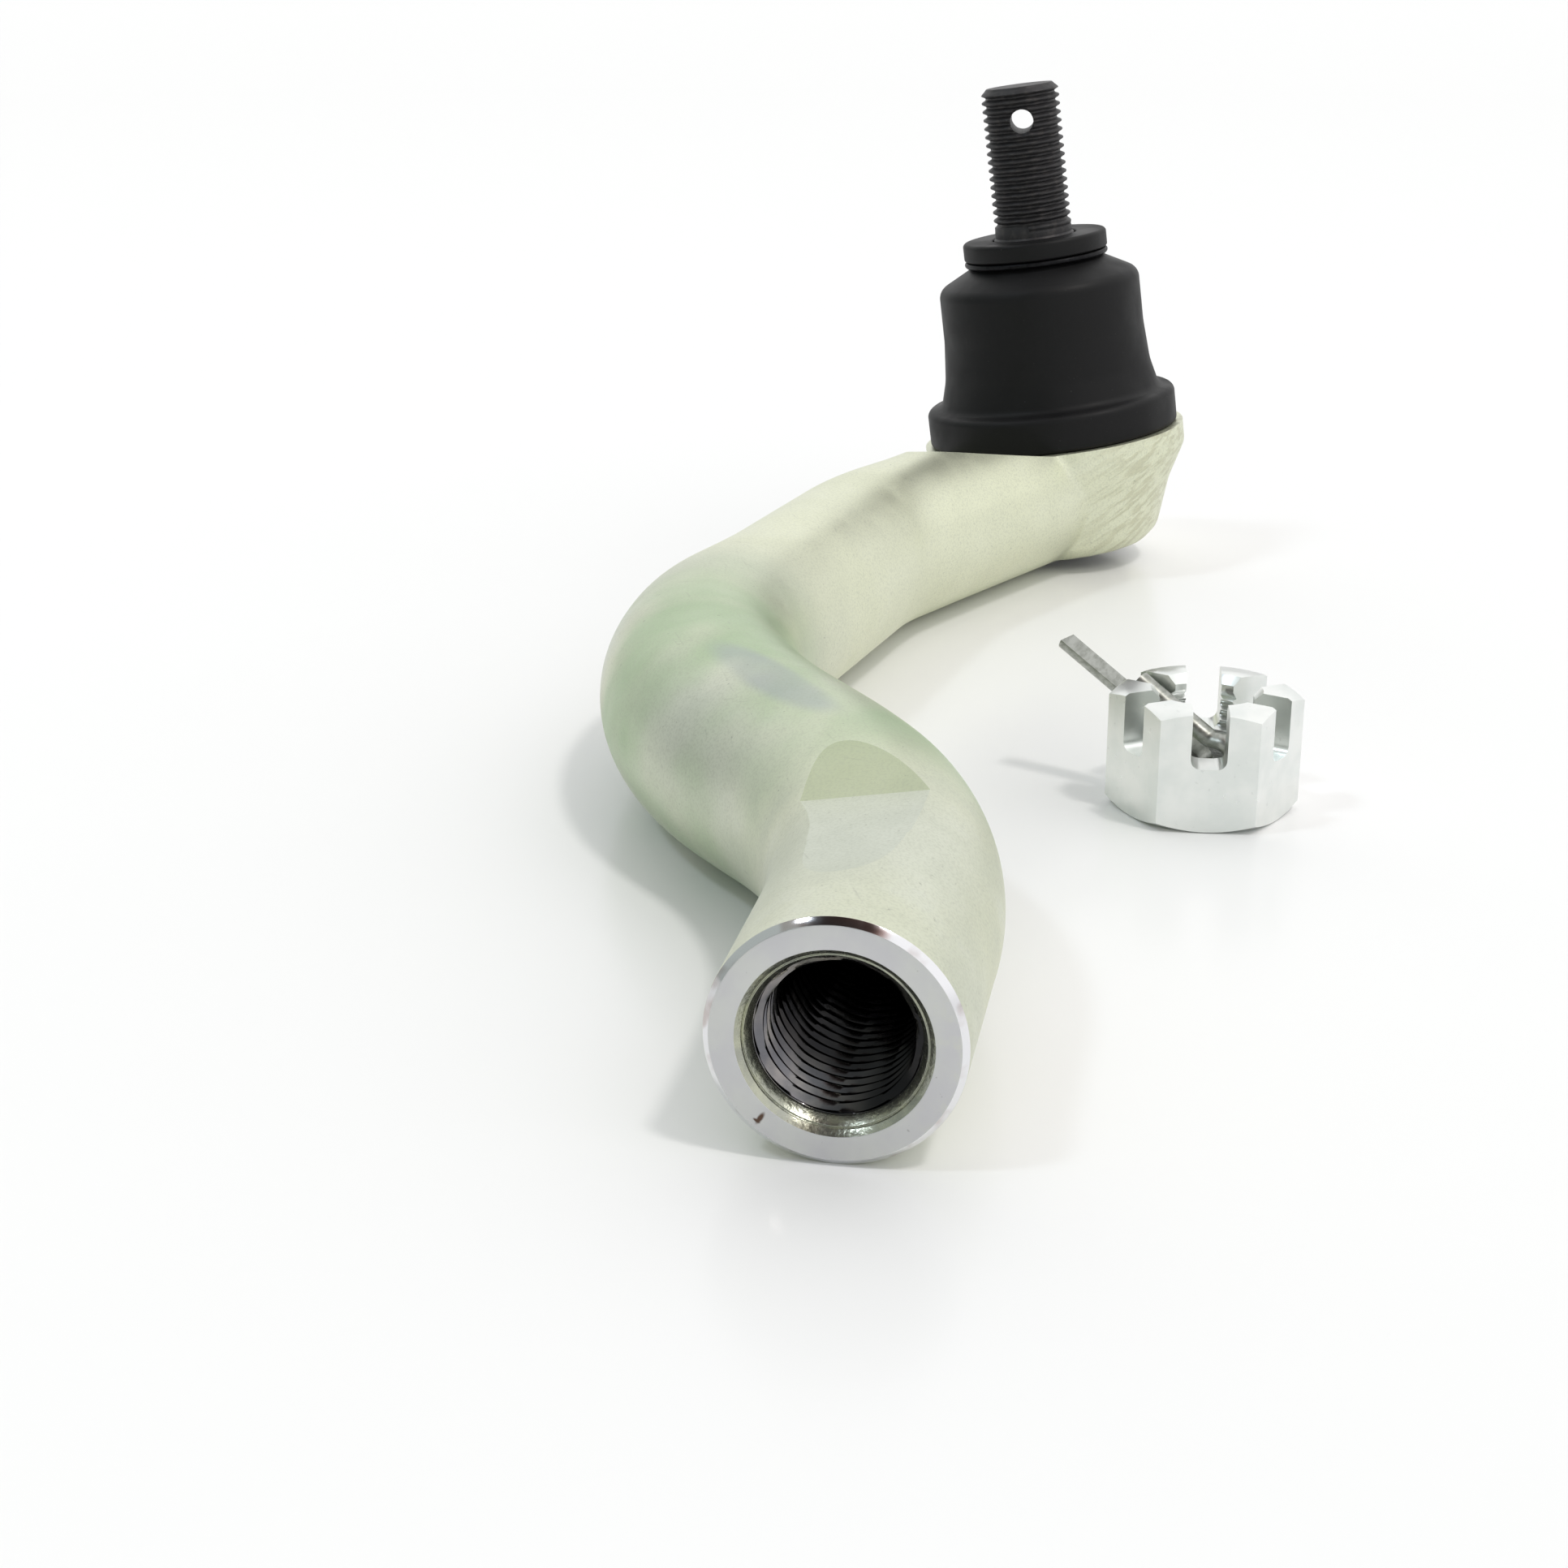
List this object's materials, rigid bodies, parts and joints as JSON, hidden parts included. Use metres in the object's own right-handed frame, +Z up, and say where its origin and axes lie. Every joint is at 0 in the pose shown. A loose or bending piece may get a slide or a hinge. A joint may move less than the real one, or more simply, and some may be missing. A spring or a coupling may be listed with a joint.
{
  "type": "tie rod end",
  "caption": "Bent forged rod with a threaded socket at one end and a booted ball stud at the other, with its loose castle nut and cotter pin.",
  "frame": {"origin": "on the threaded socket's axis where its first full thread starts, 1.8 mm inside the end face", "axes": "+X out of the socket along its thread axis, +Z up from the surface the rod lies on, and +Y completes the right-handed frame; the ball stud leans 7.7 degrees from +Z towards -Y"},
  "size_m": [0.2292, 0.0811, 0.0728],
  "materials": {
    "zinc_chromate": "satin pale yellow-green zinc chromate over forged steel",
    "black_phosphate": "matte black phosphate",
    "acetal": "smooth off-white acetal",
    "spring_steel": "bright spring steel",
    "phosphated_cap": "dark pressed steel",
    "seal_rubber": "smooth black nitrile",
    "boot_rubber": "matte black chloroprene",
    "ring_steel": "plain steel, moulded in",
    "wire_steel": "blackened spring wire",
    "bright_zinc": "bright clear zinc plate",
    "pin_steel": "dull zinc-plated soft steel"
  },
  "bodies": {
    "housing": {"forged_body": "zinc_chromate", "upper_bearing_seat": "acetal", "lower_bearing_seat": "acetal", "preload_spring": "spring_steel", "end_cap": "phosphated_cap", "end_cap_seal": "seal_rubber"},
    "boot_base": {"boot_bead_ring": "ring_steel", "dust_boot": "boot_rubber"},
    "boot_top": {"boot_neck_wire": "wire_steel"},
    "stud": {"ball_stud": "black_phosphate"},
    "nut": {"castle_nut": "bright_zinc"},
    "pin": {"cotter_pin": "pin_steel"}
  },
  "joints": [
    {"name": "swing_direction", "type": "hinge", "parent": "housing", "child": "boot_base", "pos_m": [-0.2072, -0.001, 0.005], "axis": [0, -0.134, 0.991], "continuous": true},
    {"name": "stud_swing", "type": "hinge", "parent": "boot_base", "child": "boot_top", "pos_m": [-0.2072, -0.001, 0.005], "axis": [0, 0.991, 0.134], "range_deg": [-25, 25], "deforming": ["dust_boot"]},
    {"name": "stud_spin", "type": "hinge", "parent": "boot_top", "child": "stud", "pos_m": [-0.2072, -0.001, 0.005], "axis": [0, -0.134, 0.991], "continuous": true},
    {"name": "nut_lift", "type": "slide", "parent": "housing", "child": "nut", "axis": [0, 0, 1], "range_m": [0, 0.06]},
    {"name": "pin_pull", "type": "slide", "parent": "nut", "child": "pin", "axis": [0, 0, 1], "range_m": [0, 0.04]}
  ]
}
